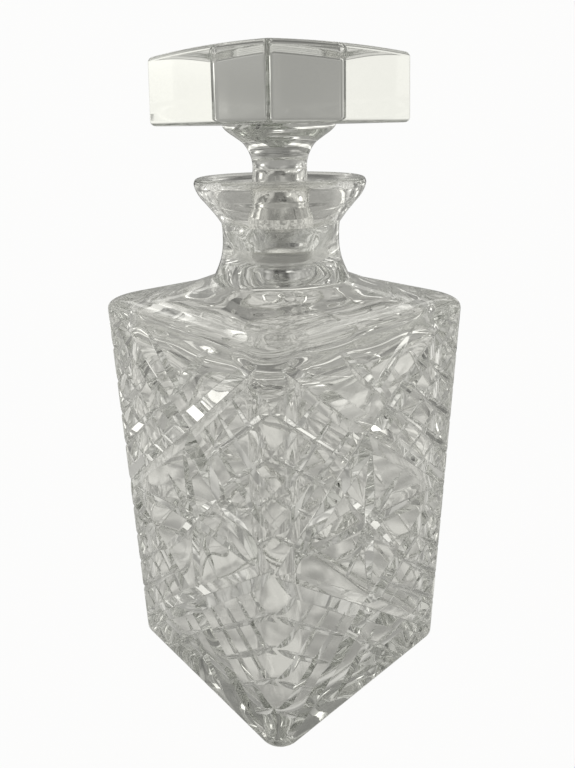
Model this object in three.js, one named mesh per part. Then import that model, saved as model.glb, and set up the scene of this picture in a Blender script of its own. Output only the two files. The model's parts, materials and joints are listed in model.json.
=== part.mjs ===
// Square liquor decanter with a square block stopper, in millimetres, +Z up.
// Origin: centre of the flat base, on the surface that the bottle stands on.
// The four faces look along +X, -X, +Y and -Y.
//
// Two pieces of solid glass:
//   decanter_body  hollow square bottle: walls, thick base, shoulder, neck,
//                  ground seat and wide pouring lip in one piece
//   stopper        square block head, waisted stem and tapered ground peg
import * as THREE from 'three';

// ---- driving dimensions ---------------------------------------------------

// body, outside
const BASE_SIDE = 90.0;        // across the flats, just above the base bevel
const SHOULDER_SIDE = 92.4;    // across the flats at SHOULDER_REF_Z: the walls lean out a little
const SHOULDER_REF_Z = 143.9;
const EDGE_R = 8.2;            // plan radius of the four upright edges
const BASE_BEVEL = 2.0;        // bevel round the base
const EDGE_START_Z = 139.9;    // where the wall starts to roll over into the shoulder
const SHOULDER_Z = 145.0;      // shoulder just inside that roll
const SHOULDER_ROLL = 7.2;     // horizontal depth of the roll
const NECK_FOOT_R = 23.6;      // where the shoulder meets the neck's fillet
const NECK_FOOT_Z = 151.6;
const NECK_R = 19.6;           // narrowest outside radius of the neck
const RIM_R = 28.2;            // widest radius of the pouring lip
const RIM_Z = 184.4;           // top of the lip

// body, inside
const WALL = 7.4;              // side wall thickness
const FLOOR_Z = 8.0;           // inside floor: the base is thicker than the walls
const CAVITY_EDGE_R = 6.5;     // plan radius of the cavity's upright edges
const CAVITY_TOP_Z = 126.0;    // where the cavity's walls start to close in to its domed ceiling
const SEAT_TOP_Z = 161.5;      // ground seat in the neck, a 1:10 cone
const SEAT_TOP_R = 10.78;
const SEAT_END_Z = 156.8;
const SEAT_END_R = 10.54;

// stopper
const PEG_GAP = 0.3;           // clearance between the peg and its seat
const PEG_END_Z = 157.2;
const PEG_BEVEL = 0.7;
const BULGE_R = 10.95;         // widest part of the peg, in the open lip
const BULGE_Z = 172.5;
const WAIST_R = 8.9;           // narrowest part of the stem
const WAIST_Z = 188.7;
const HEAD_SIDE_BOTTOM = 59.6; // block head, across the flats at the bottom
const HEAD_SIDE_TOP = 58.4;    // and at the top
const HEAD_Z0 = 200.2;         // underside of the head
const HEAD_Z1 = 220.7;         // top edges of the head
const HEAD_EDGE = 1.5;         // rounding of the head's edges
const HEAD_CORNER_R = 1.8;     // plan radius of the head's upright edges
const CROWN = 0.95;            // the top face is a shallow dome, so the head is lowest at its four corners
const DOME = 0.0009;           // how fast that dome falls away: mm per square mm of radius

// ---- sections -------------------------------------------------------------

// Directions round the axis, closer together at the corners of the square.
function directions(octant) {
  const q = octant.concat(octant.slice(1, -1).reverse().map((d) => 90 - d));
  const all = [];
  for (let k = 0; k < 4; k++) for (const d of q) all.push(THREE.MathUtils.degToRad(d + 90 * k));
  return all;
}
const BODY_DIRS = directions([0, 12, 23, 32, 38.6, 41.2, 43.1, 45]);
const STOPPER_DIRS = directions([0, 15, 30, 42, 45]);

// Distance from the axis to a rounded square (half side a, corner radius rc).
function reach(t, a, rc) {
  const u = Math.abs(((t + Math.PI / 4) % (Math.PI / 2)) - Math.PI / 4);
  const c = a - Math.min(rc, a - 1e-6);
  if (u <= Math.atan2(c, a) || a - c < 1e-3) return a / Math.cos(u);
  const b = c * (Math.cos(u) + Math.sin(u));
  const r = a - c;
  return b + Math.sqrt(Math.max(r * r - (2 * c * c - b * b), 0));
}

// One closed skin through a list of sections [half side, corner radius, z],
// from a centre point at the first section's height to one at the last.
// lift(r, z) can move a point up or down by its distance from the axis.
function loft(sections, dirs, z0, z1, lift = (r, z) => z) {
  const n = dirs.length;
  const pos = [0, 0, z0];
  for (const [a, rc, z] of sections) {
    for (const t of dirs) {
      const r = reach(t, a, rc);
      pos.push(r * Math.cos(t), r * Math.sin(t), lift(r, z));
    }
  }
  pos.push(0, 0, z1);
  const last = pos.length / 3 - 1;
  const idx = [];
  for (let k = 0; k < n; k++) idx.push(0, 1 + ((k + 1) % n), 1 + k);
  for (let i = 0; i < sections.length - 1; i++) {
    const o = 1 + i * n, p = o + n;
    for (let k = 0; k < n; k++) {
      const m = (k + 1) % n;
      idx.push(o + k, o + m, p + m, o + k, p + m, p + k);
    }
  }
  const o = last - n;
  for (let k = 0; k < n; k++) idx.push(last, o + k, o + ((k + 1) % n));
  const g = new THREE.BufferGeometry();
  g.setAttribute('position', new THREE.Float32BufferAttribute(pos, 3));
  g.setIndex(idx);
  g.computeVertexNormals();
  return g;
}

const round = (r, z) => [r, r, z];
const mix = (a, b, t) => a + (b - a) * t;

// ---- body -----------------------------------------------------------------

function bodySections() {
  const s = [];
  const half = (z) => mix(BASE_SIDE, SHOULDER_SIDE, (z - BASE_BEVEL) / (SHOULDER_REF_Z - BASE_BEVEL)) / 2;

  // base bevel and wall
  const h0 = BASE_SIDE / 2;
  s.push([h0 - BASE_BEVEL, EDGE_R - BASE_BEVEL, 0]);
  s.push([h0 - 0.55, EDGE_R - 0.55, 0.6]);
  s.push([h0, EDGE_R, BASE_BEVEL]);
  s.push([half(EDGE_START_Z), EDGE_R, EDGE_START_Z]);

  // roll of the shoulder's edge, then the shoulder closing to a circle
  const a0 = half(EDGE_START_Z);
  const corner = (a) => mix(EDGE_R, NECK_FOOT_R, ((a0 - a) / (a0 - NECK_FOOT_R)) ** 0.8);
  for (let i = 1; i <= 4; i++) {
    const t = (Math.PI / 2) * (i / 4);
    const a = a0 - SHOULDER_ROLL * (1 - Math.cos(t) ** 0.7);
    s.push([a, corner(a), mix(EDGE_START_Z, SHOULDER_Z, Math.sin(t) ** 0.7)]);
  }
  const a1 = a0 - SHOULDER_ROLL;
  for (let i = 1; i <= 4; i++) {
    const t = i / 4;
    const a = mix(a1, NECK_FOOT_R, t);
    s.push([a, Math.min(corner(a), a), mix(SHOULDER_Z, NECK_FOOT_Z, t ** 1.4)]);
  }

  // neck and flared lip, outside
  s.push(round(22.3, 153.9), round(21.2, 156.4), round(20.25, 159.4), round(NECK_R + 0.05, 162.8));
  s.push(round(NECK_R, 168.4), round(19.8, 170.0), round(21.9, 173.0), round(24.6, 176.3));
  s.push(round(26.8, 178.9), round(27.9, 181.3), round(RIM_R, 182.6), round(27.8, 183.8), round(26.6, RIM_Z));

  // lip and funnel, inside
  s.push(round(24.2, RIM_Z), round(23.2, 183.3), round(22.3, 180.8), round(20.6, 177.0));
  s.push(round(18.2, 173.0), round(15.6, 169.6), round(12.9, 165.2), round(11.3, 162.7));

  // ground seat, then the cavity opening out under the shoulder
  s.push(round(SEAT_TOP_R, SEAT_TOP_Z), round(SEAT_END_R, SEAT_END_Z));
  s.push(round(11.2, 156.1), round(13.2, 154.6), round(16.4, 152.3), round(20.2, 149.5));
  s.push([25.0, 23.0, 146.2], [30.8, 17.5, 143.2], [35.2, 11.8, 138.5]);
  const c = half(CAVITY_TOP_Z) - WALL;
  s.push([c - 0.3, CAVITY_EDGE_R + 1.1, 132.5], [c, CAVITY_EDGE_R, CAVITY_TOP_Z]);
  const w = half(17) - WALL;
  s.push([w, CAVITY_EDGE_R, 17.0], [w - 0.7, CAVITY_EDGE_R - 0.3, 12.2], [w - 2.8, CAVITY_EDGE_R - 1.0, 9.3]);
  s.push([w - 6.5, CAVITY_EDGE_R - 2.0, FLOOR_Z]);
  return s;
}

// ---- stopper --------------------------------------------------------------

function stopperSections() {
  const seat = (z) => mix(SEAT_TOP_R, SEAT_END_R, (SEAT_TOP_Z - z) / (SEAT_TOP_Z - SEAT_END_Z));
  const s = [];
  // peg, from its lower end up to the bulge
  s.push(round(seat(PEG_END_Z) - PEG_GAP - PEG_BEVEL, PEG_END_Z));
  s.push(round(seat(PEG_END_Z) - PEG_GAP, PEG_END_Z + PEG_BEVEL));
  s.push(round(seat(SEAT_TOP_Z) - PEG_GAP, SEAT_TOP_Z));
  s.push(round(BULGE_R - 0.15, 167.5), round(BULGE_R, BULGE_Z), round(10.4, 176.0));
  // stem
  s.push(round(9.5, 180.5), round(9.05, 184.6), round(WAIST_R, WAIST_Z), round(9.7, 191.4));
  s.push(round(11.3, 194.2), round(14.2, 196.5), round(16.5, 198.1), round(17.7, 199.2), round(18.2, HEAD_Z0 - 0.1));
  // underside, sides and crowned top of the block head
  const b = HEAD_SIDE_BOTTOM / 2, t = HEAD_SIDE_TOP / 2;
  s.push([b - HEAD_EDGE, HEAD_CORNER_R * 0.6, HEAD_Z0]);
  s.push([b - 0.45, HEAD_CORNER_R * 0.85, HEAD_Z0 + 0.45]);
  s.push([b, HEAD_CORNER_R, HEAD_Z0 + HEAD_EDGE]);
  s.push([t, HEAD_CORNER_R, HEAD_Z1 - HEAD_EDGE]);
  s.push([t - 0.45, HEAD_CORNER_R * 0.85, HEAD_Z1 - 0.45]);
  s.push([t - HEAD_EDGE, HEAD_CORNER_R * 0.6, HEAD_Z1]);
  s.push([t * 0.8, 3, HEAD_Z1], [t * 0.55, 5, HEAD_Z1], [t * 0.3, 6, HEAD_Z1]);
  return s;
}

// The dome: everything at the head's top edge follows it.
const dome = (r, z) => (z > HEAD_Z1 - 2 * HEAD_EDGE ? z + CROWN - DOME * r * r : z);

// ---- assembly -------------------------------------------------------------

const bodyGlass = new THREE.MeshStandardMaterial({
  name: 'body_glass', color: new THREE.Color(0.90, 0.91, 0.90), roughness: 0.02, metalness: 0,
  transparent: true, opacity: 0.35,
});
const stopperGlass = new THREE.MeshStandardMaterial({
  name: 'stopper_glass', color: new THREE.Color(0.92, 0.93, 0.92), roughness: 0.02, metalness: 0,
  transparent: true, opacity: 0.35,
});

const decanter = new THREE.Group();
decanter.name = 'liquor_decanter';

const body = new THREE.Mesh(loft(bodySections(), BODY_DIRS, 0, FLOOR_Z), bodyGlass);
body.name = 'decanter_body';
decanter.add(body);

const stopper = new THREE.Mesh(loft(stopperSections(), STOPPER_DIRS, PEG_END_Z, HEAD_Z1 + CROWN, dome), stopperGlass);
stopper.name = 'stopper';
decanter.add(stopper);

export default decanter;
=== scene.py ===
import json
import math

import bmesh
import bpy
import numpy as np
from mathutils import Matrix, Vector

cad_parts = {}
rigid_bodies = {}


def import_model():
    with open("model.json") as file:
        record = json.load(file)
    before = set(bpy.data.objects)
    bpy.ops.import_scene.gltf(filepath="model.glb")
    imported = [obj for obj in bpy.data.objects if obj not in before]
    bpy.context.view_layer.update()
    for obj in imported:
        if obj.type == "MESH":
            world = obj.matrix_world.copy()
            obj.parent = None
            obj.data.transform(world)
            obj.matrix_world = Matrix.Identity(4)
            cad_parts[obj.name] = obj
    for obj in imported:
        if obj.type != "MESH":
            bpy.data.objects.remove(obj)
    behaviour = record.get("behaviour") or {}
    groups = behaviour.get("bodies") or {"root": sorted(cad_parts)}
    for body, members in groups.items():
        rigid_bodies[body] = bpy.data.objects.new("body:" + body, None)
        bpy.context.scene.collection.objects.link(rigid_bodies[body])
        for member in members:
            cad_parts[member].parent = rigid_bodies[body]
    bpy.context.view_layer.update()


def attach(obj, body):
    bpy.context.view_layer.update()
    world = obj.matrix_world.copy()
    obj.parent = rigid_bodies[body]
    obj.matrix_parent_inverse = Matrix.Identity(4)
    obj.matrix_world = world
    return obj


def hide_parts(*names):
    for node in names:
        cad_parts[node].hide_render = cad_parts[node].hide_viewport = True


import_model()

MM = 0.001
scene = bpy.context.scene

# ---------------------------------------------------------------------------
# camera: a little above the shoulder, looking down at one upright edge
# ---------------------------------------------------------------------------
cam_data = bpy.data.cameras.new("camera")
cam = bpy.data.objects.new("camera", cam_data)
scene.collection.objects.link(cam)
cam.matrix_world = Matrix((
    (0.67201813, -0.2576683, 0.69426125, 0.16851743),
    (0.74038618, 0.25255618, -0.62293152, -0.14929800),
    (-0.01483027, 0.93264271, 0.36049638, 0.19837),
    (0.0, 0.0, 0.0, 1.0),
))
cam_data.sensor_fit = "VERTICAL"
cam_data.sensor_height = 36.0
cam_data.sensor_width = 36.0
cam_data.lens = 30.754
cam_data.clip_start, cam_data.clip_end = 0.01, 30.0
scene.camera = cam

# ---------------------------------------------------------------------------
# dimensions, in millimetres (the same as the solid model's)
# ---------------------------------------------------------------------------
BASE_SIDE, SHOULDER_SIDE, SHOULDER_REF_Z = 90.0, 92.4, 143.9
EDGE_R, BASE_BEVEL = 8.2, 2.0
EDGE_START_Z, SHOULDER_Z, SHOULDER_ROLL = 139.9, 145.0, 7.2
NECK_FOOT_R, NECK_FOOT_Z = 23.6, 151.6
RIM_Z = 184.4
WALL, FLOOR_Z, CAVITY_EDGE_R, CAVITY_TOP_Z = 7.4, 8.0, 6.5, 126.0
SEAT_TOP_Z, SEAT_TOP_R, SEAT_END_Z, SEAT_END_R = 161.5, 10.78, 156.8, 10.54
PEG_GAP, PEG_END_Z, PEG_BEVEL = 0.3, 157.2, 0.7
HEAD_SIDE_BOTTOM, HEAD_SIDE_TOP = 59.6, 58.4
HEAD_Z0, HEAD_Z1, HEAD_EDGE, HEAD_CORNER_R, CROWN, DOME = 200.2, 220.7, 1.5, 1.8, 0.95, 0.0009


def mix(a, b, t):
    return a + (b - a) * t


def half(z):
    return mix(BASE_SIDE, SHOULDER_SIDE, (z - BASE_BEVEL) / (SHOULDER_REF_Z - BASE_BEVEL)) / 2


# ---------------------------------------------------------------------------
# section curves and lofts
# ---------------------------------------------------------------------------
def spline(points, step, start=None, end=None):
    """Smooth curve through points [half side, corner radius, z], one sample about every step mm."""
    p = np.array(points, float)
    n = len(p)
    d = np.maximum(np.sqrt(((p[1:] - p[:-1]) ** 2).sum(1)), 1e-6)
    m = np.zeros_like(p)
    for i in range(1, n - 1):
        a, b = (p[i] - p[i - 1]) / d[i - 1], (p[i + 1] - p[i]) / d[i]
        m[i] = (a * d[i] + b * d[i - 1]) / (d[i - 1] + d[i])
    m[0] = (p[1] - p[0]) / d[0] * 1.5 - m[1] * 0.5 if start is None else np.array(start, float)
    m[-1] = (p[-1] - p[-2]) / d[-1] * 1.5 - m[-2] * 0.5 if end is None else np.array(end, float)
    out = []
    for i in range(n - 1):
        k = max(1, int(math.ceil(d[i] / step)))
        for j in range(k):
            t = j / k
            h00, h10 = 2 * t ** 3 - 3 * t ** 2 + 1, t ** 3 - 2 * t ** 2 + t
            h01, h11 = -2 * t ** 3 + 3 * t ** 2, t ** 3 - t ** 2
            out.append(h00 * p[i] + h10 * d[i] * m[i] + h01 * p[i + 1] + h11 * d[i] * m[i + 1])
    out.append(p[-1])
    return out


def directions(octant):
    q = list(octant) + [90 - x for x in reversed(octant[1:-1])]
    return np.radians([x + 90 * k for k in range(4) for x in q])


def reach(t, a, rc):
    """Distance from the axis to a rounded square (half side a, corner radius rc)."""
    u = np.abs(((t + math.pi / 4) % (math.pi / 2)) - math.pi / 4)
    c = a - min(rc, a - 1e-6)
    r = a - c
    flat = a / np.cos(u)
    b = c * (np.cos(u) + np.sin(u))
    arc = b + np.sqrt(np.maximum(r * r - (2 * c * c - b * b), 0))
    return np.where((u <= math.atan2(c, a)) | (r < 1e-3), flat, arc)


def skin(name, sections, dirs, z0, z1):
    """One closed mesh through a list of sections, with a centre point at each end."""
    n = len(dirs)
    rows = []
    for s in sections:
        a, rc, z = s[:3]
        r = reach(dirs, a, min(rc, a))
        rows.append(np.stack([r * np.cos(dirs), r * np.sin(dirs), np.full(n, z)], 1))
    verts = np.concatenate([[[0, 0, z0]]] + rows + [[[0, 0, z1]]]) * MM
    faces = [(0, 1 + (k + 1) % n, 1 + k) for k in range(n)]
    for i in range(len(rows) - 1):
        o = 1 + i * n
        p = o + n
        faces += [(o + k, o + (k + 1) % n, p + (k + 1) % n, p + k) for k in range(n)]
    last = len(verts) - 1
    o = last - n
    faces += [(last, o + k, o + (k + 1) % n) for k in range(n)]
    me = bpy.data.meshes.new(name)
    me.from_pydata(verts.tolist(), [], faces)
    me.update()
    ob = bpy.data.objects.new(name, me)
    scene.collection.objects.link(ob)
    return ob


def rnd(r, z):
    return [r, r, z]


def bottle_sections():
    s = []
    h0 = BASE_SIDE / 2
    # rounded base edge
    for i in range(9):
        t = math.pi / 2 * i / 8
        off = BASE_BEVEL * (1 - math.sin(t))
        s.append([h0 - off, EDGE_R - off, BASE_BEVEL * (1 - math.cos(t))])
    # flat walls
    for z in np.linspace(BASE_BEVEL, EDGE_START_Z, 24)[1:]:
        s.append([half(z), EDGE_R, z])
    # rounded shoulder edge (superellipse), evenly spaced along its length
    a0 = half(EDGE_START_Z)
    t = np.linspace(0, math.pi / 2, 4001)
    a = a0 - SHOULDER_ROLL * (1 - np.maximum(np.cos(t), 0) ** 0.7)
    z = mix(EDGE_START_Z, SHOULDER_Z, np.sin(t) ** 0.7)
    ang = np.unwrap(np.arctan2(np.gradient(a), np.gradient(z)))
    run = np.concatenate([[0], np.cumsum(np.hypot(np.diff(a), np.diff(z)))])
    key = run / run[-1] * 0.5 + np.abs(ang - ang[1]) / abs(ang[-2] - ang[1]) * 0.5
    pick = [int(np.argmin(np.abs(key - q))) for q in np.linspace(0, 1, 23)[1:]]

    def corner(x):
        return mix(EDGE_R, NECK_FOOT_R, max(0.0, (a0 - x) / (a0 - NECK_FOOT_R)) ** 0.8)

    for i in pick:
        s.append([a[i], corner(a[i]), z[i]])
    # shoulder, closing to a circle and sweeping up into the neck
    a1 = a0 - SHOULDER_ROLL
    pts = []
    for i in range(0, 9):
        q = i / 8
        x = mix(a1, NECK_FOOT_R, q)
        pts.append([x, min(corner(x), x), mix(SHOULDER_Z, NECK_FOOT_Z, q ** 1.4)])
    pts += [rnd(22.3, 153.9), rnd(21.2, 156.4), rnd(20.25, 159.4), rnd(19.72, 162.8), rnd(19.6, 166.0),
            rnd(19.68, 169.0), rnd(19.8, 170.0)]
    s += spline(pts, 0.7, start=[-1, 0.75, 0.0], end=[0.1, 0.1, 1])[1:]
    # flare and lip, outside, over the top and down the funnel to the seat
    pts = [rnd(19.8, 170.0), rnd(21.9, 173.0), rnd(24.6, 176.3), rnd(26.8, 179.0), rnd(27.9, 181.3),
           rnd(28.17, 182.7), rnd(27.75, 183.8), rnd(26.7, 184.35), rnd(25.4, 184.4), rnd(24.2, 184.2),
           rnd(23.2, 183.0), rnd(22.3, 180.8), rnd(20.6, 177.0), rnd(18.2, 173.0), rnd(15.6, 169.2),
           rnd(12.9, 165.2), rnd(11.45, 162.9), rnd(SEAT_TOP_R, SEAT_TOP_Z)]
    s += spline(pts, 0.45)[1:]
    s += [rnd(mix(SEAT_TOP_R, SEAT_END_R, i / 10), mix(SEAT_TOP_Z, SEAT_END_Z, i / 10)) for i in range(1, 11)]
    # cavity, opening out under the shoulder, and its side walls
    w1 = half(CAVITY_TOP_Z) - WALL
    global INNER
    INNER = 1 + (len(s) - 1) * len(BOTTLE_DIRS)        # first vertex of the seat's end, where the inside begins
    pts = [rnd(SEAT_END_R, SEAT_END_Z), rnd(11.2, 156.1), rnd(13.2, 154.6), rnd(16.4, 152.3), rnd(20.2, 149.5),
           [25.0, 23.0, 146.2], [30.8, 17.5, 143.2], [35.2, 11.8, 138.5], [w1 - 0.3, 7.6, 132.5],
           [w1, CAVITY_EDGE_R, CAVITY_TOP_Z]]
    s += spline(pts, 0.8, end=[-0.008, 0, -1])[1:]
    w0 = half(17.0) - WALL
    for q in np.linspace(0, 1, 52)[1:]:
        s.append([mix(w1, w0, q), CAVITY_EDGE_R, mix(CAVITY_TOP_Z, 17.0, q)])
    pts = [[w0, CAVITY_EDGE_R, 17.0], [w0 - 0.7, CAVITY_EDGE_R - 0.3, 12.2], [w0 - 2.8, CAVITY_EDGE_R - 1.0, 9.3],
           [w0 - 6.5, CAVITY_EDGE_R - 2.0, FLOOR_Z]]
    s += spline(pts, 0.6, start=[-0.008, 0, -1], end=[-1, -0.3, 0])[1:]
    for q in (0.9, 0.78, 0.66, 0.54, 0.42, 0.3, 0.18, 0.08):
        s.append([(w0 - 6.5) * q, 4.5 * q, FLOOR_Z])
    return s


def stopper_sections():
    def seat(z):
        return mix(SEAT_TOP_R, SEAT_END_R, (SEAT_TOP_Z - z) / (SEAT_TOP_Z - SEAT_END_Z)) - PEG_GAP

    s = []
    e = seat(PEG_END_Z) - PEG_BEVEL
    for q in (0.15, 0.4, 0.7, 0.9, 1.0):
        s.append(rnd(e * q, PEG_END_Z))
    for i in range(1, 7):
        t = math.pi / 2 * i / 6
        s.append(rnd(e + PEG_BEVEL * math.sin(t), PEG_END_Z + PEG_BEVEL * (1 - math.cos(t))))
    for q in np.linspace(0, 1, 8)[1:]:
        z = mix(PEG_END_Z + PEG_BEVEL, SEAT_TOP_Z, q)
        s.append(rnd(seat(z), z))
    pts = [rnd(seat(SEAT_TOP_Z), SEAT_TOP_Z), rnd(10.8, 167.5), rnd(10.95, 172.5), rnd(10.4, 176.6), rnd(9.5, 180.5),
           rnd(9.05, 184.6), rnd(8.92, 188.7), rnd(9.7, 191.5), rnd(11.3, 194.2), rnd(14.2, 196.5), rnd(16.5, 198.1),
           rnd(17.7, 199.2), rnd(18.2, 200.1)]
    s += spline(pts, 0.5, end=[0.25, 0.25, 1])[1:]
    s += [rnd(18.35, 200.17), rnd(19.0, HEAD_Z0 - 0.02)]
    b, t1 = HEAD_SIDE_BOTTOM / 2, HEAD_SIDE_TOP / 2
    s.append([24.5, 20.0, HEAD_Z0 - 0.01])
    s.append([26.8, 6.0, HEAD_Z0])
    for i in range(7):
        t = math.pi / 2 * i / 6
        off = HEAD_EDGE * (1 - math.sin(t))
        s.append([b - off, HEAD_CORNER_R - off * 0.5, HEAD_Z0 + HEAD_EDGE * (1 - math.cos(t))])
    for q in np.linspace(0, 1, 9)[1:]:
        s.append([mix(b, t1, q), HEAD_CORNER_R, mix(HEAD_Z0 + HEAD_EDGE, HEAD_Z1 - HEAD_EDGE, q)])
    for i in range(1, 7):
        t = math.radians(86) * i / 6
        off = HEAD_EDGE * (1 - math.cos(t))
        s.append([t1 - off, HEAD_CORNER_R - off * 0.5, HEAD_Z1 - HEAD_EDGE + HEAD_EDGE * math.sin(t)])
    a, _, z = s[-1]
    for q in np.linspace(1, 0, 20)[1:-1]:
        s.append([a * q, min(a * q, 1.2 + (1 - q) * 9), HEAD_Z1])
    return s


def dome(ob):
    """Bend the top of the block head into its shallow dome: lowest at the four corners."""
    me = ob.data
    n = len(me.vertices)
    co = np.zeros(n * 3)
    me.vertices.foreach_get("co", co)
    co = co.reshape(-1, 3) / MM
    low, high = HEAD_Z0 + HEAD_EDGE, HEAD_Z1 - HEAD_EDGE
    share = np.clip((co[:, 2] - low) / (high - low), 0, 1)
    r2 = co[:, 0] ** 2 + co[:, 1] ** 2
    centre = np.arange(n) == n - 1
    co[:, 2] += np.where(centre, 0.0, share * (CROWN - DOME * r2))
    me.vertices.foreach_set("co", (co * MM).ravel())
    me.update()


BOTTLE_DIRS = directions(list(np.linspace(0, 38.7, 24)) + list(np.linspace(39.25, 45, 17)))
STOPPER_DIRS = directions(list(np.linspace(0, 41.5, 22)) + list(np.linspace(42.2, 45, 10)))
INNER = 0

bottle = skin("bottle_glass", bottle_sections(), BOTTLE_DIRS, 0, FLOOR_Z)


def uneven_inside(ob, first):
    """The inside was blown, not cut: its surface swells and sinks a few tenths of a millimetre."""
    me = ob.data
    n = len(me.vertices)
    co, no = np.zeros(n * 3), np.zeros(n * 3)
    me.vertices.foreach_get("co", co)
    me.vertices.foreach_get("normal", no)
    co, no = co.reshape(-1, 3), no.reshape(-1, 3)
    p = co / MM
    swell = np.zeros(n)
    for (kx, ky, kz), wave, amount, phase in (
            ((0.5, 0.3, 0.8), 36.0, 1.0, 0.4), ((0.8, -0.5, 0.35), 27.0, 0.8, 2.1), ((-0.3, 0.85, 0.45), 22.0, 0.6, 4.0),
            ((0.6, 0.6, -0.55), 31.0, 0.8, 1.2), ((-0.7, 0.2, 0.7), 19.0, 0.45, 5.2)):
        length = math.sqrt(kx * kx + ky * ky + kz * kz)
        swell += amount * np.sin((p[:, 0] * kx + p[:, 1] * ky + p[:, 2] * kz) / length * 2 * math.pi / wave + phase)
    z = p[:, 2]
    amp = WAVES * (1 + 0.9 * np.clip((z - 118) / 18, 0, 1)) * np.clip((156.0 - z) / 8, 0, 1)
    inside = np.arange(n) >= first
    co += no * (swell * amp * inside)[:, None] * MM
    me.vertices.foreach_set("co", co.ravel())
    me.update()


WAVES = 0.14
uneven_inside(bottle, INNER)
stopper = skin("stopper_glass", stopper_sections(), STOPPER_DIRS, PEG_END_Z, HEAD_Z1 + CROWN)
dome(stopper)

# ---------------------------------------------------------------------------
# wheel cuts in the four walls
# ---------------------------------------------------------------------------
cut_set = bpy.data.collections.new("cuts")
scene.collection.children.link(cut_set)
LEAN = math.atan((SHOULDER_SIDE - BASE_SIDE) / 2 / (SHOULDER_REF_Z - BASE_BEVEL))


def face_frame(k):
    """Matrix from a wall's own frame (u across, v up, w outward, mm, v = height) to metres."""
    n = Vector((0, -math.cos(LEAN), -math.sin(LEAN)))
    up = Vector((0, -math.tan(LEAN), 1))
    o = Vector((0, -half(0.0), 0))
    m = Matrix((
        (1, up.x, n.x, o.x),
        (0, up.y, n.y, o.y),
        (0, up.z, n.z, o.z),
        (0, 0, 0, 1),
    ))
    return Matrix.Diagonal((MM, MM, MM, 1)) @ Matrix.Rotation(math.pi / 2 * k, 4, "Z") @ m


MARKS = [bpy.data.materials.new(x) for x in ("plain_mark", "lip_mark", "bottom_mark")]
BOTTOM_R = 0.26                    # the wheel leaves the bottom of a cut slightly round
LIP_R = 0.55                       # and polishing rounds its two edges


def profile(d, tan_half, proud):
    """Section across a cut of depth d: (offset, height) from one lip down to the bottom and up to the other."""
    phi = math.atan(1 / tan_half)                      # slope of the flanks
    room = max(d, 0.0) / math.sin(phi)                 # length of a flank
    t = min(LIP_R * math.tan(phi / 2), room * 0.35)    # from the sharp edge to where its rounding ends
    rl = t / math.tan(phi / 2)
    rb = min(BOTTOM_R, max(d, 0.0) * 0.3)
    edge = max(d, 0.0) * tan_half
    base = -d if d < 0 else 0.0
    side = []
    steps = 5
    for i in range(steps + 1):
        a = phi * (0.06 + 0.94 * i / steps)            # slope of the tangent, from nearly flat to the flank's
        side.append((edge + t - rl * math.sin(a), base - rl * (1 - math.cos(a))))
    rise = (proud + max(-d, 0.0)) if d < 0 else proud
    side.insert(0, (side[0][0] + 0.012, base + 0.004))
    side.insert(0, (side[0][0] + 0.02, base + max(rise, 0.05)))
    low = []
    for i in range(4):
        a = phi * (1 - i / 3)
        low.append((rb * math.sin(a), -d + rb * (1 / math.cos(phi) - math.cos(a))))
    right = side + low
    left = [(-q, h) for q, h in reversed(right[:-1])]
    return right + left


def cutter(k, name, p0, p1, depth, tan_half, proud):
    """A V-shaped bar from p0 to p1 on wall k. depth(s) is the depth of its bottom edge for s from -1 to 1."""
    p0, p1 = np.array(p0, float), np.array(p1, float)
    mid, along = (p0 + p1) / 2, (p1 - p0) / 2
    side = np.array([-along[1], along[0]]) / np.hypot(*along)
    verts, faces = [], []
    stations = depth["s"]
    m = 0
    for s in stations:
        c = mid + along * s
        sec = profile(depth["f"](s), tan_half, proud)
        m = len(sec)
        verts += [(c[0] + side[0] * q, c[1] + side[1] * q, h) for q, h in sec]
    n = len(stations)
    marks = []
    mid_i = m // 2                                     # the profile's lowest point
    for i in range(n - 1):
        o = i * m
        for a in range(m):
            faces.append((o + a, o + (a + 1) % m, o + m + (a + 1) % m, o + m + a))
            away = min(abs(a - mid_i), abs(a + 1 - mid_i))
            marks.append(2 if away < 3 else 1 if away > 3 else 0)
    faces.append(tuple(range(m - 1, -1, -1)))
    faces.append(tuple(range((n - 1) * m, n * m)))
    marks += [0, 0]
    me = bpy.data.meshes.new(name)
    me.from_pydata(verts, [], faces)
    for mat in MARKS:
        me.materials.append(mat)
    me.polygons.foreach_set("material_index", marks)
    bm = bmesh.new()
    bm.from_mesh(me)
    bmesh.ops.recalc_face_normals(bm, faces=bm.faces)
    bmesh.ops.triangulate(bm, faces=[f for f in bm.faces if len(f.verts) > 4])
    bm.to_mesh(me)
    bm.free()
    me.transform(face_frame(k))
    ob = bpy.data.objects.new(name, me)
    cut_set.objects.link(ob)
    return ob


def leaf(k, name, p0, p1, d, tan_half, proud=0.6, over=0.06, steps=23):
    st = list(np.linspace(-1 - over, 1 + over, steps))
    return cutter(k, name, p0, p1, {"s": st, "f": lambda s: d * (1 - s * s)}, tan_half, proud)


def ray(k, name, centre, tip, d, tan_half, full):
    """Half of a leaf cut: deepest at the star's centre, and pointed at its tip."""
    c, t = np.array(centre, float), np.array(tip, float)
    length = float(np.hypot(*(t - c)))
    way = (t - c) / length
    lead, over = 3.0, length * 0.07
    st = list(np.linspace(-1, 1, 24))

    def depth(s):
        x = mix(-lead, length + over, (s + 1) / 2)
        return d * (1 - (x / lead) ** 2) if x < 0 else d * (1 - (x / length) ** full)

    return cutter(k, name, c - way * lead, t + way * over, {"s": st, "f": depth}, tan_half, 0.6)


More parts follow.
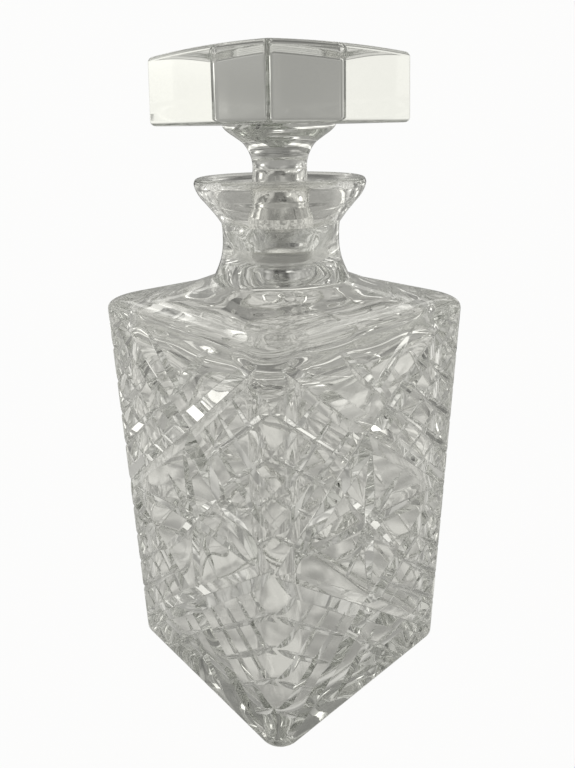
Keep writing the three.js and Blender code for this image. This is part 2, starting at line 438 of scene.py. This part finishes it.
SLOPE = 0.83                       # all mitre lines climb or fall at this slope
COS = math.cos(math.atan(SLOPE))
MAIN_D, MAIN_T = 2.9, 1.6          # the big mitres: depth at the crossing, and width to depth
MAIN_REACH = 62.0                  # length from the crossing to where the wheel lifts out
HATCH_T = 0.66
EDGE_CUT = 2.45                    # depth of the small cuts below the wall's plane where they reach the upright edge
HATCH_FIRST, HATCH_PITCH = 12.3, 10.1
STAR_D, STAR_T = 2.3, 1.12         # upright rays of the star: the slanting and the level ones are shallower
LEAF_D, LEAF_T = 2.0, 1.05

# (u, v) of the upper and the lower crossing on each wall: cut by hand, so no two are quite alike
CROSSINGS = [
    ((2.0, 107.9), (-2.2, 37.3)),
    ((-2.3, 107.1), (-1.9, 37.9)),
    ((1.2, 107.4), (0.6, 37.2)),
    ((-0.8, 107.0), (1.1, 38.1)),
]
FIRST = [HATCH_FIRST, 11.4, 12.0, 11.8]
# centre and eight tips of the star on each wall: two upright rays, two level ones and four slanting ones
STARS = [
    ((4.6, 75.5), (1.4, 102.5), (2.6, 43.0), (-41.0, 71.6), (41.5, 73.6), (-9.9, 87.8), (16.6, 56.7), (19.4, 90.2), (-10.5, 58.0)),
    ((-3.0, 75.0), (-3.7, 102.7), (-1.5, 44.3), (-42.0, 76.4), (33.0, 74.0), (-16.9, 91.9), (12.0, 57.0), (13.7, 88.5), (-14.8, 56.3)),
    ((1.5, 74.0), (1.2, 102.2), (0.8, 44.5), (-41.0, 73.0), (40.0, 74.5), (-14.0, 90.0), (16.0, 57.5), (16.5, 90.0), (-13.0, 57.0)),
    ((-1.0, 73.5), (-0.6, 102.0), (0.4, 44.0), (-40.5, 74.0), (41.0, 73.0), (-16.0, 89.5), (14.0, 56.5), (15.0, 90.5), (-14.5, 57.5)),
]


RUN_OUT = ((0, 32, 44, 75), (2.9, 2.35, 2.35, 2.5))          # depth of a big mitre by its distance from the crossing
LIFT_UP = ((0, 32, 42, 48, 53, 60), (2.9, 2.2, 1.9, 1.3, 0.0, -1.0))
LIFT_DOWN = ((0, 32, 43, 50, 56, 62), (2.9, 2.15, 1.8, 1.1, 0.0, -1.0))


def long_mitre(k, name, c, sign, ends):
    """Big mitre through a crossing, climbing to the right for sign 1. ends: its depths to the left and to the right."""
    half_u = MAIN_REACH * COS
    p0 = (c[0] - half_u, c[1] - sign * SLOPE * half_u)
    p1 = (c[0] + half_u, c[1] + sign * SLOPE * half_u)
    st = list(np.linspace(-1, 1, 48))

    def depth(q):
        table = ends[0] if q < 0 else ends[1]
        return float(np.interp(abs(q) * MAIN_REACH, table[0], table[1]))

    return cutter(k, name, p0, p1, {"s": st, "f": depth}, MAIN_T, 0.5)


def hatch(k, name, p0, p1, deep):
    """Small cut that starts pointed beside a big mitre and runs out over the upright edge."""
    table = (0.2, 0.7, 1.3, 1.7, 2.3, 2.7) if deep else (0.2, 0.6, 1.0, 1.25, 1.5, 1.5)
    length = math.hypot(p1[0] - p0[0], p1[1] - p0[1])
    st = list(np.linspace(-1, 1, 24))

    def depth(q):
        t = (q + 1) / 2
        along = float(np.interp(t * length, (0, 2.5, 6, 10, 24, 40), table))
        # on the rounded upright edge the wheel goes on to the middle, where the cuts of both walls meet
        at_edge = float(np.interp(abs(mix(p0[0], p1[0], t)), (30, 36, 41, 46), (0, 1.2, EDGE_CUT, EDGE_CUT + 0.12)))
        return min(max(along, at_edge), 0.2 + 0.36 * t * length)

    return cutter(k, name, p0, p1, {"s": st, "f": depth}, HATCH_T * (1.15 if deep else 1.0), 0.5)


for k in range(4):
    upper, lower = CROSSINGS[k]
    for label, c in (("upper", upper), ("lower", lower)):
        for sign in (-1, 1):
            climb, fall = (LIFT_UP, RUN_OUT) if label == "upper" else (RUN_OUT, LIFT_DOWN)
            long_mitre(k, f"{label}_{sign}_{k}", c, sign, (fall, climb) if sign > 0 else (climb, fall))
        # cross-hatching in the triangles on both sides of the crossing
        for side in (-1, 1):
            for i in range(4):
                drop = FIRST[k] + i * HATCH_PITCH
                for sign in (-1, 1):
                    # a line parallel to the mitre of slope sign, drop mm away from it on this side of the crossing
                    v0 = c[1] - side * sign * drop / COS
                    # it starts where the other mitre's flank begins and runs out over the upright edge
                    start = (drop + 2.0 * COS) / (2 * SLOPE * COS)
                    u0, u1 = side * start, side * 46.5 - c[0]
                    if side * (u1 - u0) < 6:
                        continue
                    hatch(k, f"hatch_{label}_{side}_{i}_{sign}_{k}", (c[0] + u0, v0 + sign * SLOPE * u0),
                          (c[0] + u1, v0 + sign * SLOPE * u1), side * sign < 0)
    # eight-ray star in the middle diamond
    for i, tip in enumerate(STARS[k][1:]):
        share, full = ((1.0, 3.0), (1.0, 3.0), (0.7, 1.7), (0.7, 1.7))[i] if i < 4 else (0.88, 2.6)
        ray(k, f"star_{i}_{k}", STARS[k][0], tip, STAR_D * share, STAR_T, full)
    # crossed leaf cuts above the upper crossing and below the lower one
    ou, ol = upper[0], lower[0]
    for side in (-1, 1):
        leaf(k, f"top_leaf_{side}_{k}", (ou + side * 17.8, 140.2), (ou - side * 5.8, 117.6), LEAF_D, LEAF_T)
        leaf(k, f"low_leaf_{side}_{k}", (ol + side * 17.0, 5.6), (ol - side * 5.4, 27.2), LEAF_D, LEAF_T)

for mat in MARKS:
    bottle.data.materials.append(mat)
mod = bottle.modifiers.new("cuts", "BOOLEAN")
mod.operation = "DIFFERENCE"
mod.operand_type = "COLLECTION"
mod.collection = cut_set
mod.solver = "MANIFOLD"
dg = bpy.context.evaluated_depsgraph_get()
cut_mesh = bpy.data.meshes.new_from_object(bottle.evaluated_get(dg), depsgraph=dg)
bottle.modifiers.clear()
old = bottle.data
bottle.data = cut_mesh
bpy.data.meshes.remove(old)
for ob in list(cut_set.objects):
    me = ob.data
    bpy.data.objects.remove(ob)
    bpy.data.meshes.remove(me)
bpy.data.collections.remove(cut_set)
# where each face lies in a cut: 1 at the bottom, 0.5 on a rounded lip, 0 elsewhere
kind = np.zeros(len(bottle.data.polygons), np.int32)
bottle.data.polygons.foreach_get("material_index", kind)
names = [m.name.split("_")[0] if m else "" for m in bottle.data.materials]
value = np.array([{"bottom": 1.0, "lip": 0.5}.get(x, 0.0) for x in names] or [0.0])[kind]
print("bottle faces", len(kind), "names", names, "counts", np.bincount(kind).tolist())
bottle.data.materials.clear()
bottle.data.polygons.foreach_set("material_index", np.zeros(len(kind), np.int32))
bottle.data.attributes.new("cut_mark", "FLOAT", "FACE").data.foreach_set("value", value.astype(np.float32))
for mat in MARKS:
    bpy.data.materials.remove(mat)

for ob, angle in ((bottle, 17.0), (stopper, 22.0)):
    me = ob.data
    bm = bmesh.new()
    bm.from_mesh(me)
    for f in bm.faces:
        f.smooth = True
    lim = math.radians(angle)
    for e in bm.edges:
        if len(e.link_faces) == 2:
            e.smooth = e.calc_face_angle(0.0) < lim
    bm.to_mesh(me)
    bm.free()
    me.update()
    # large flat facets keep their own normal, and only the narrow rounded strips between them bend it
    mod = ob.modifiers.new("facets", "WEIGHTED_NORMAL")
    mod.mode = "FACE_AREA"
    mod.weight = 50
    mod.keep_sharp = True
    dg = bpy.context.evaluated_depsgraph_get()
    new = bpy.data.meshes.new_from_object(ob.evaluated_get(dg), depsgraph=dg)
    ob.modifiers.clear()
    ob.data = new
    bpy.data.meshes.remove(me)

# ---------------------------------------------------------------------------
# glass
# ---------------------------------------------------------------------------
def glass(name, ground_z, ground_r, ground_rough):
    """Clear crystal: painted shade on the bottoms and rounded lips of the cuts, wheel marks in them, a fine-ground
    zone, faint handling marks.
    """
    mat = bpy.data.materials.new(name)
    mat.use_nodes = True
    nt = mat.node_tree
    nt.nodes.clear()
    N, L = nt.nodes.new, nt.links.new
    out = N("ShaderNodeOutputMaterial")
    p = N("ShaderNodeBsdfPrincipled")
    p.inputs["Transmission Weight"].default_value = 1.0
    p.inputs["IOR"].default_value = 1.545
    L(p.outputs["BSDF"], out.inputs["Surface"])
    ab = N("ShaderNodeVolumeAbsorption")
    ab.inputs["Color"].default_value = (0.93, 0.935, 0.925, 1)
    ab.inputs["Density"].default_value = 22.0
    L(ab.outputs["Volume"], out.inputs["Volume"])
    tc = N("ShaderNodeTexCoord")

    def math_node(op, *vals, clamp=False):
        n = N("ShaderNodeMath")
        n.operation = op
        n.use_clamp = clamp
        for i, v in enumerate(vals):
            if isinstance(v, (int, float)):
                n.inputs[i].default_value = v
            else:
                L(v, n.inputs[i])
        return n.outputs["Value"]

    def ramp(v, lo, hi, to0, to1):
        n = N("ShaderNodeMapRange")
        n.interpolation_type = "SMOOTHSTEP"
        L(v, n.inputs["Value"])
        for key, x in (("From Min", lo), ("From Max", hi), ("To Min", to0), ("To Max", to1)):
            n.inputs[key].default_value = x
        return n.outputs["Result"]

    def noise(scale, detail, distortion=0.0):
        n = N("ShaderNodeTexNoise")
        L(tc.outputs["Object"], n.inputs["Vector"])
        for key, x in (("Scale", scale), ("Detail", detail), ("Roughness", 0.55), ("Distortion", distortion)):
            n.inputs[key].default_value = x
        return n.outputs["Fac"]

    sep = N("ShaderNodeSeparateXYZ")
    L(tc.outputs["Object"], sep.inputs["Vector"])
    z = sep.outputs["Z"]
    r = math_node("SQRT", math_node("ADD", math_node("MULTIPLY", sep.outputs["X"], sep.outputs["X"]),
                                    math_node("MULTIPLY", sep.outputs["Y"], sep.outputs["Y"])))
    # the ground zone of the seat or the peg: within ground_z in height and inside ground_r
    ground = math_node("MULTIPLY", ramp(z, ground_z[0] - 0.0004, ground_z[0] + 0.0004, 0.0, 1.0),
                       ramp(z, ground_z[1] - 0.0005, ground_z[1] + 0.0003, 1.0, 0.0))
    ground = math_node("MULTIPLY", ground, ramp(r, ground_r, ground_r + 0.0004, 1.0, 0.0))
    grit = noise(2600.0, 2.0)
    # the cuts' bottoms and rounded lips, stronger here and fainter there: painted shade in the colour, wheel marks in
    # the roughness
    mark = N("ShaderNodeAttribute")
    mark.attribute_type = "GEOMETRY"
    mark.attribute_name = "cut_mark"
    patch = ramp(noise(70.0, 2.0), 0.3, 0.7, 0.55, 1.0)
    cut_wear_and_shade = math_node("MULTIPLY", mark.outputs["Fac"], patch)
    # colour that the surface lets through: painted shade darkens the bottoms and lips of the cuts, and the fine-ground
    # zone is a little greyer
    tone = math_node("SUBTRACT", 1.0, math_node("MULTIPLY", cut_wear_and_shade, 0.55))
    tone = math_node("MULTIPLY", tone, math_node("SUBTRACT", 1.0, math_node("MULTIPLY", ground, 0.10)))
    col = N("ShaderNodeCombineColor")
    for i, t in enumerate((1.0, 0.997, 0.985)):
        L(math_node("MULTIPLY", tone, t), col.inputs[i])
    L(col.outputs["Color"], p.inputs["Base Color"])
    # roughness: polished, with wheel marks at the bottoms of the cuts and a fine-ground seat
    smear = ramp(noise(38.0, 4.0, 0.5), 0.60, 0.78, 0.0, 0.012)
    rough = math_node("MAXIMUM", smear, math_node("MULTIPLY", cut_wear_and_shade, 0.05))
    rough = math_node("MAXIMUM", rough, math_node("MULTIPLY", ground, ramp(grit, 0.3, 0.7, ground_rough * 0.7, ground_rough)))
    L(rough, p.inputs["Roughness"])
    # relief: grit of the grinding, and the slight waviness of fire-polished glass
    h = math_node("ADD", math_node("MULTIPLY", math_node("MULTIPLY", grit, ground), 0.000012),
                  math_node("MULTIPLY", noise(55.0, 1.0), 0.00002))
    bump = N("ShaderNodeBump")
    bump.inputs["Strength"].default_value = 1.0
    bump.inputs["Distance"].default_value = 1.0
    L(h, bump.inputs["Height"])
    L(bump.outputs["Normal"], p.inputs["Normal"])
    return mat


body_glass = glass("body_glass_look", (SEAT_END_Z * MM, SEAT_TOP_Z * MM), 0.0115, 0.16)
stopper_mat = glass("stopper_glass_look", (PEG_END_Z * MM, 0.1665), 0.0115, 0.16)
for ob, mat in ((bottle, body_glass), (stopper, stopper_mat)):
    ob.data.materials.clear()
    ob.data.materials.append(mat)

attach(bottle, "bottle")
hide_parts("decanter_body")
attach(stopper, "stopper")
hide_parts("stopper")

# ---------------------------------------------------------------------------
# studio: pale floor, soft light
# ---------------------------------------------------------------------------
def disc(name, radius, z, seg=96):
    me = bpy.data.meshes.new(name)
    me.from_pydata([(0, 0, z)] + [(radius * math.cos(2 * math.pi * i / seg), radius * math.sin(2 * math.pi * i / seg), z)
                                  for i in range(seg)],
                   [], [(0, 1 + i, 1 + (i + 1) % seg) for i in range(seg)])
    ob = bpy.data.objects.new(name, me)
    scene.collection.objects.link(ob)
    return ob


PALE = (0.975, 0.975, 0.97, 1)
TABLE = 0.505
# the floor is plain pale to the camera; to rays through the glass it glows with painted light and shade: brighter to
# the sides, darker in front, mottled
floor = disc("floor", 0.5, -0.0002)
mat = bpy.data.materials.new("floor_look")
mat.use_nodes = True
nt = mat.node_tree
nt.nodes.clear()
out = nt.nodes.new("ShaderNodeOutputMaterial")
lp = nt.nodes.new("ShaderNodeLightPath")
mx = nt.nodes.new("ShaderNodeMixShader")
near = nt.nodes.new("ShaderNodeEmission")
near.inputs["Color"].default_value = PALE
far = nt.nodes.new("ShaderNodeEmission")
geo = nt.nodes.new("ShaderNodeNewGeometry")
away = nt.nodes.new("ShaderNodeVectorMath")      # how far a point of the floor lies to the front
away.operation = "DOT_PRODUCT"
nt.links.new(geo.outputs["Position"], away.inputs[0])
away.inputs[1].default_value = (math.cos(math.radians(-41.5)), math.sin(math.radians(-41.5)), 0)
beside = nt.nodes.new("ShaderNodeVectorMath")    # and how far to the side
beside.operation = "DOT_PRODUCT"
nt.links.new(geo.outputs["Position"], beside.inputs[0])
beside.inputs[1].default_value = (-math.sin(math.radians(-41.5)), math.cos(math.radians(-41.5)), 0)
side = nt.nodes.new("ShaderNodeMath")
side.operation = "ABSOLUTE"
nt.links.new(beside.outputs["Value"], side.inputs[0])
r1 = nt.nodes.new("ShaderNodeMapRange")
r1.interpolation_type = "SMOOTHSTEP"
nt.links.new(side.outputs["Value"], r1.inputs["Value"])
for key, v in (("From Min", 0.08), ("From Max", 0.40), ("To Min", TABLE), ("To Max", TABLE * 1.5)):
    r1.inputs[key].default_value = v
r2 = nt.nodes.new("ShaderNodeMapRange")
r2.interpolation_type = "SMOOTHSTEP"
nt.links.new(away.outputs["Value"], r2.inputs["Value"])
for key, v in (("From Min", -0.02), ("From Max", 0.20), ("To Min", 1.0), ("To Max", 0.5)):
    r2.inputs[key].default_value = v
# painted light and shade on the floor: brighter towards the sides, darker in front
lit = nt.nodes.new("ShaderNodeMath")
lit.operation = "MULTIPLY"
nt.links.new(r1.outputs["Result"], lit.inputs[0])
nt.links.new(r2.outputs["Result"], lit.inputs[1])
mottle = nt.nodes.new("ShaderNodeTexNoise")      # light and shade that the cut glass itself throws on the floor
nt.links.new(geo.outputs["Position"], mottle.inputs["Vector"])
for key, v in (("Scale", 38.0), ("Detail", 2.0), ("Roughness", 0.5), ("Distortion", 0.9)):
    mottle.inputs[key].default_value = v
spread = nt.nodes.new("ShaderNodeMapRange")
spread.interpolation_type = "SMOOTHSTEP"
nt.links.new(mottle.outputs["Fac"], spread.inputs["Value"])
for key, v in (("From Min", 0.34), ("From Max", 0.66), ("To Min", 0.62), ("To Max", 1.38)):
    spread.inputs[key].default_value = v
# the floor's glow as the glass sees it, carrying the painted light and shadow
table = nt.nodes.new("ShaderNodeMath")
table.operation = "MULTIPLY"
nt.links.new(lit.outputs["Value"], table.inputs[0])
nt.links.new(spread.outputs["Result"], table.inputs[1])
far.inputs["Color"].default_value = (1, 0.995, 0.945, 1)
nt.links.new(table.outputs["Value"], far.inputs["Strength"])
nt.links.new(lp.outputs["Is Camera Ray"], mx.inputs["Fac"])
nt.links.new(far.outputs["Emission"], mx.inputs[1])
nt.links.new(near.outputs["Emission"], mx.inputs[2])
nt.links.new(mx.outputs["Shader"], out.inputs["Surface"])
floor.data.materials.append(mat)

world = bpy.data.worlds.new("studio")
scene.world = world
world.use_nodes = True
nt = world.node_tree
nt.nodes.clear()
N, L = nt.nodes.new, nt.links.new
out = N("ShaderNodeOutputWorld")
tc = N("ShaderNodeTexCoord")


def maths(op, *vals, clamp=False):
    n = N("ShaderNodeMath")
    n.operation = op
    n.use_clamp = clamp
    for i, v in enumerate(vals):
        if isinstance(v, (int, float)):
            n.inputs[i].default_value = v
        else:
            L(v, n.inputs[i])
    return n.outputs["Value"]


sep = N("ShaderNodeSeparateXYZ")
L(tc.outputs["Generated"], sep.inputs["Vector"])
AZ = maths("ARCTAN2", sep.outputs["Y"], sep.outputs["X"])      # azimuth of the direction, radians
EL = maths("ARCSINE", sep.outputs["Z"])                        # its elevation


def step(value, centre, half_width, soft):
    """1 where value is within half_width of zero, falling smoothly to 0 over soft (all radians). The centre argument is
    not used.
    """
    mr = N("ShaderNodeMapRange")
    mr.interpolation_type = "SMOOTHSTEP"
    mr.inputs["From Min"].default_value = half_width + soft
    mr.inputs["From Max"].default_value = half_width - soft
    L(maths("ABSOLUTE", value), mr.inputs["Value"])
    return mr.outputs["Result"]


def panel(az, el, half_az, half_el, soft):
    """Soft-edged rectangle of directions centred on azimuth az and elevation el, in degrees."""
    r = math.radians
    turn = maths("WRAP", maths("SUBTRACT", AZ, r(az)), math.pi, -math.pi)
    return maths("MULTIPLY", step(turn, 0, r(half_az), r(soft)),
                 step(maths("SUBTRACT", EL, r(el)), 0, r(half_el), r(soft)))


CAM_AZ = -41.5
WALL_LEVEL = 0.425
# azimuth, elevation, half widths, softness (degrees) and gain of each soft light or dark panel of the studio
PANELS = (
    (CAM_AZ + 83.5, 0, 15, 14, 2.5, 0.49),    # soft box on one side
    (CAM_AZ - 96.5, 0, 15, 14, 2.5, 0.40),    # and on the other
    (CAM_AZ + 84, 5, 42, 55, 30, 0.17),       # light that each soft box throws round itself
    (CAM_AZ - 97, 5, 42, 55, 30, 0.17),
    (CAM_AZ, -5, 40, 60, 20, -0.30),          # darker in front
    (CAM_AZ + 180, 4, 18, 6, 5, -0.08),       # backdrop
    (CAM_AZ + 150, 12, 10, 14, 8, -0.14),
    (CAM_AZ + 212, 14, 12, 12, 8, -0.14),
    (CAM_AZ + 120, -6, 8, 10, 6, 0.18),
    (CAM_AZ + 30, 40, 14, 10, 6, 0.9),        # light overhead
    (CAM_AZ + 148, -8, 4, 3, 1, 0.8),         # small bright reflectors
    (CAM_AZ + 254, 11, 9, 4.5, 1.2, 0.6),
    (CAM_AZ + 151, 4, 4, 4.5, 1, 0.7),
    (CAM_AZ + 177, 25, 34, 3.5, 1.2, 0.9),    # strip light high on the backdrop
    (CAM_AZ + 214, -18, 3.5, 3, 1, 0.7),
    (CAM_AZ + 227, 4, 5, 9, 1.5, -0.22),      # dark cards
    (CAM_AZ + 134, -4, 5, 8, 1.5, -0.22),
)
level = maths("ADD", WALL_LEVEL, 0.0)
for az, el, ha, he, soft, gain in PANELS:
    level = maths("MULTIPLY_ADD", panel(az, el, ha, he, soft), gain, level)
# the studio's light is uneven: soft lighter and darker parts, except straight behind the decanter and in the soft boxes
room = N("ShaderNodeTexNoise")
L(tc.outputs["Generated"], room.inputs["Vector"])
for key, v in (("Scale", 2.6), ("Detail", 1.5), ("Roughness", 0.5), ("Distortion", 0.4)):
    room.inputs[key].default_value = v
uneven = N("ShaderNodeMapRange")
uneven.interpolation_type = "SMOOTHSTEP"
L(room.outputs["Fac"], uneven.inputs["Value"])
for key, v in (("From Min", 0.36), ("From Max", 0.64), ("To Min", -0.62), ("To Max", 0.62)):
    uneven.inputs[key].default_value = v
calm = maths("MAXIMUM", panel(CAM_AZ + 180, 4, 17, 9, 8), panel(CAM_AZ + 83.5, 0, 17, 16, 4))
calm = maths("MAXIMUM", calm, panel(CAM_AZ - 96.5, 0, 17, 16, 4))
swing = maths("MULTIPLY", uneven.outputs["Result"], maths("SUBTRACT", 1.0, calm))
quiet = N("ShaderNodeMapRange")                  # the upper part is plainer
quiet.interpolation_type = "SMOOTHSTEP"
L(EL, quiet.inputs["Value"])
for key, v in (("From Min", math.radians(2)), ("From Max", math.radians(18)), ("To Min", 1.0), ("To Max", 0.22)):
    quiet.inputs[key].default_value = v
swing = maths("MULTIPLY", swing, maths("ADD", maths("MULTIPLY", quiet.outputs["Result"], 0.6), 0.4))
level = maths("MULTIPLY", level, maths("ADD", swing, 1.0))
ceiling = N("ShaderNodeMapRange")
ceiling.interpolation_type = "SMOOTHSTEP"
L(EL, ceiling.inputs["Value"])
for key, v in (("From Min", math.radians(28)), ("From Max", math.radians(50)), ("To Min", 1.0), ("To Max", 0.58)):
    ceiling.inputs[key].default_value = v
level = maths("MULTIPLY", level, ceiling.outputs["Result"])
spots = N("ShaderNodeTexNoise")                  # small lit and unlit spots all round
L(tc.outputs["Generated"], spots.inputs["Vector"])
for key, v in (("Scale", 7.5), ("Detail", 1.0), ("Roughness", 0.5), ("Distortion", 0.8)):
    spots.inputs[key].default_value = v
lit_spot = N("ShaderNodeMapRange")
lit_spot.interpolation_type = "SMOOTHSTEP"
L(spots.outputs["Fac"], lit_spot.inputs["Value"])
for key, v in (("From Min", 0.64), ("From Max", 0.68), ("To Min", 0.0), ("To Max", 1.1)):
    lit_spot.inputs[key].default_value = v
dark_spot = N("ShaderNodeMapRange")
dark_spot.interpolation_type = "SMOOTHSTEP"
L(spots.outputs["Fac"], dark_spot.inputs["Value"])
for key, v in (("From Min", 0.33), ("From Max", 0.37), ("To Min", -0.6), ("To Max", 0.0)):
    dark_spot.inputs[key].default_value = v
both = maths("MULTIPLY", maths("ADD", lit_spot.outputs["Result"], dark_spot.outputs["Result"]), maths("SUBTRACT", 1.0, calm))
both = maths("MULTIPLY", both, quiet.outputs["Result"])
level = maths("MULTIPLY", level, maths("ADD", both, 1.0))
level = maths("MAXIMUM", level, 0.02)
col = N("ShaderNodeCombineColor")
for i, tint in enumerate((1.0, 0.995, 0.945)):
    L(maths("MULTIPLY", level, tint), col.inputs[i])
bg = N("ShaderNodeBackground")
L(col.outputs["Color"], bg.inputs["Color"])
white = N("ShaderNodeBackground")
white.inputs["Color"].default_value = PALE
lp = N("ShaderNodeLightPath")
mx = N("ShaderNodeMixShader")
L(lp.outputs["Is Camera Ray"], mx.inputs["Fac"])
L(bg.outputs["Background"], mx.inputs[1])
L(white.outputs["Background"], mx.inputs[2])
L(mx.outputs["Shader"], out.inputs["Surface"])

scene.view_settings.view_transform = "Standard"
scene.view_settings.look = "None"
scene.cycles.denoising_input_passes = "RGB"
scene.cycles.max_bounces = 32
scene.cycles.transmission_bounces = 32
scene.cycles.glossy_bounces = 24
scene.cycles.diffuse_bounces = 4
scene.cycles.transparent_max_bounces = 16
scene.cycles.sample_clamp_indirect = 6.0
